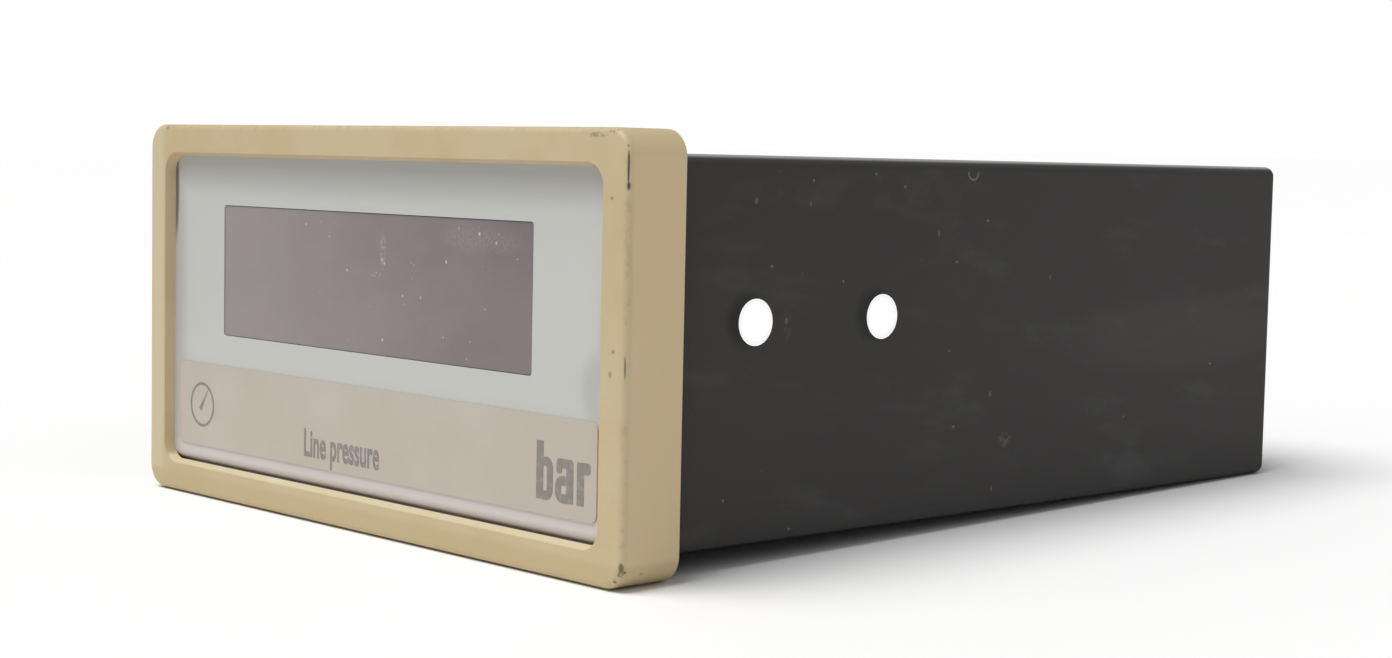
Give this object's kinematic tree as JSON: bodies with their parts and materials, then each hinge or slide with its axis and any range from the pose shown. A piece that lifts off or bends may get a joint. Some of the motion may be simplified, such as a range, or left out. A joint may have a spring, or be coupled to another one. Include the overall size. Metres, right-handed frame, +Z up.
{
  "type": "panel digital indicator",
  "caption": "Panel-mounting digital display instrument: cream front frame, tinted window and legend strip, black case with clamp sockets, withdrawable electronics and rear terminals.",
  "frame": {"origin": "centre of the panel plane: the middle of the case's cross-section in the plane of the flange's rear face", "axes": "+X to the right seen from the front, +Y into the panel, +Z up; the front faces -Y"},
  "size_m": [0.096, 0.1313, 0.048],
  "materials": {
    "cream_plastic": "satin moulded, yellowed with age",
    "light_grey_plastic": "fine matt",
    "tinted_acrylic": "smoky purple-brown, hazed and finely scratched",
    "legend_film": "beige printed film",
    "black_plastic": "fine textured, dusty",
    "white_nylon": "white nylon",
    "black_phenolic": "moulded phenolic",
    "brass_plate": "tinned brass",
    "plated_steel": "zinc plated",
    "board_green": "green solder mask on glass-fibre board",
    "led_grey": "moulded digit with unlit segments",
    "trimmer_blue": "moulded",
    "rotor_white": "nylon",
    "core_steel": "varnished laminations",
    "winding_tape": "yellow polyester tape over the winding",
    "capacitor_sleeve": "shrink sleeve",
    "chip_black": "moulded epoxy",
    "sink_aluminium": "mill finish",
    "fuse_glass": "glass tube with nickel caps",
    "film_red": "dipped film capacitors",
    "resistor_lacquer": "lacquered"
  },
  "bodies": {
    "case": {"case_shell": "black_plastic", "clamp_socket_left_front": "white_nylon", "clamp_socket_left_rear": "white_nylon", "clamp_socket_right_front": "white_nylon", "clamp_socket_right_rear": "white_nylon", "terminal_block": "black_phenolic", "terminal_plates": "brass_plate", "terminal_screws": "plated_steel", "contact_springs": "brass_plate", "block_screws": "plated_steel"},
    "chassis": {"main_board": "board_green", "display_board": "board_green", "link_header": "black_phenolic", "corner_brackets": "plated_steel", "bracket_screws": "plated_steel", "snap_pillars": "white_nylon", "led_digit_1": "led_grey", "led_digit_2": "led_grey", "led_digit_3": "led_grey", "led_digit_4": "led_grey", "zero_trimmer": "trimmer_blue", "span_trimmer": "trimmer_blue", "transformer_core": "core_steel", "transformer_bobbin": "white_nylon", "transformer_winding": "winding_tape", "transformer_strap": "plated_steel", "strap_screws": "plated_steel", "reservoir_capacitor": "capacitor_sleeve", "smoothing_capacitors": "capacitor_sleeve", "bridge_rectifier": "chip_black", "heat_sink": "sink_aluminium", "voltage_regulator": "chip_black", "mains_fuse": "fuse_glass", "fuse_clips": "plated_steel", "converter_socket": "black_phenolic", "converter_chip": "chip_black", "logic_chips": "chip_black", "film_capacitors": "film_red", "input_resistors": "resistor_lacquer"},
    "front_frame": {"bezel_frame": "cream_plastic", "front_panel": "light_grey_plastic", "display_filter": "tinted_acrylic", "legend_strip": "legend_film"},
    "zero_rotor": {"zero_rotor": "rotor_white"},
    "span_rotor": {"span_rotor": "rotor_white"}
  },
  "joints": [
    {"name": "chassis_slide", "type": "slide", "parent": "case", "child": "chassis", "axis": [0, -1, 0], "range_m": [0, 0.09]},
    {"name": "front_frame_pull", "type": "slide", "parent": "chassis", "child": "front_frame", "axis": [0, -1, 0], "range_m": [0, 0.012]},
    {"name": "zero_turn", "type": "hinge", "parent": "chassis", "child": "zero_rotor", "pos_m": [0.0374, 0, 0.0072], "axis": [0, 1, 0], "range_deg": [-135, 135]},
    {"name": "span_turn", "type": "hinge", "parent": "chassis", "child": "span_rotor", "pos_m": [0.0374, 0, -0.0034], "axis": [0, 1, 0], "range_deg": [-135, 135]}
  ]
}
